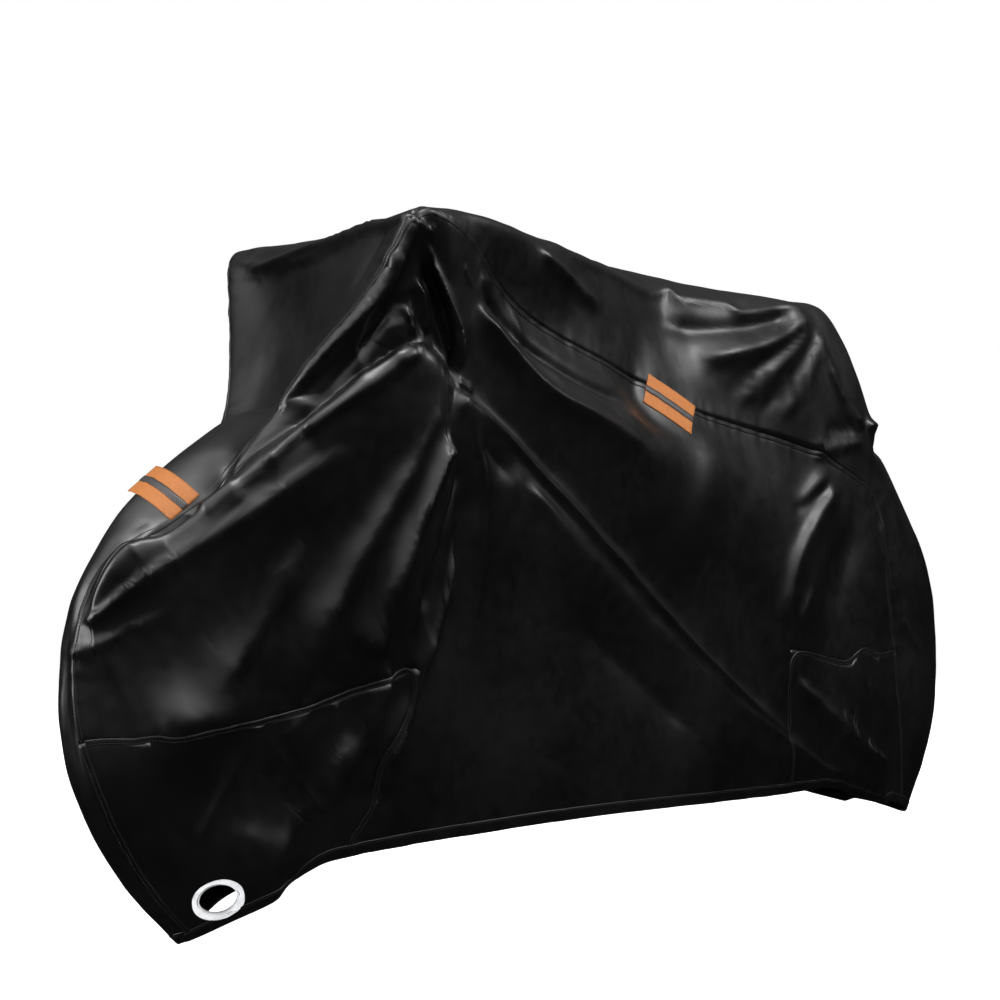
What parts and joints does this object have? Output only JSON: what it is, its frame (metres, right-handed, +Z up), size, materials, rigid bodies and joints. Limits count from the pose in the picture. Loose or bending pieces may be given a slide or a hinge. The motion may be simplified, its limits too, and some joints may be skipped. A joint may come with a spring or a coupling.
{
  "type": "bicycle cover",
  "caption": "Fitted cloth cover that drops over a whole bicycle from above, with a shaped front, reinforced lower corners, lock eyelets, reflective tapes and an elastic hem",
  "frame": {"origin": "on the bicycle's saddle top, which holds the cover up under its top panel", "axes": "+X from the front wheel to the rear wheel, +Y to the far side of the bicycle, +Z up"},
  "size_m": [1.718, 0.5023, 0.9785],
  "materials": {
    "coated_cloth": "black coated woven cloth with a satin gloss",
    "orange_tape": "orange reflective tape, matt",
    "grey_strip": "dark grey retroreflective strip, satin",
    "grey_ring": "light grey moulded ring, satin"
  },
  "bodies": {
    "root": {"top_panel": "coated_cloth", "near_side_panel": "coated_cloth", "far_side_panel": "coated_cloth", "near_front_corner": "coated_cloth", "far_front_corner": "coated_cloth", "near_rear_corner": "coated_cloth", "far_rear_corner": "coated_cloth", "near_lock_eyelet": "grey_ring", "far_lock_eyelet": "grey_ring", "front_tape": "orange_tape", "front_tape_strip": "grey_strip", "near_side_tape": "orange_tape", "near_side_tape_strip": "grey_strip", "far_side_tape": "orange_tape", "far_side_tape_strip": "grey_strip"}
  },
  "joints": []
}
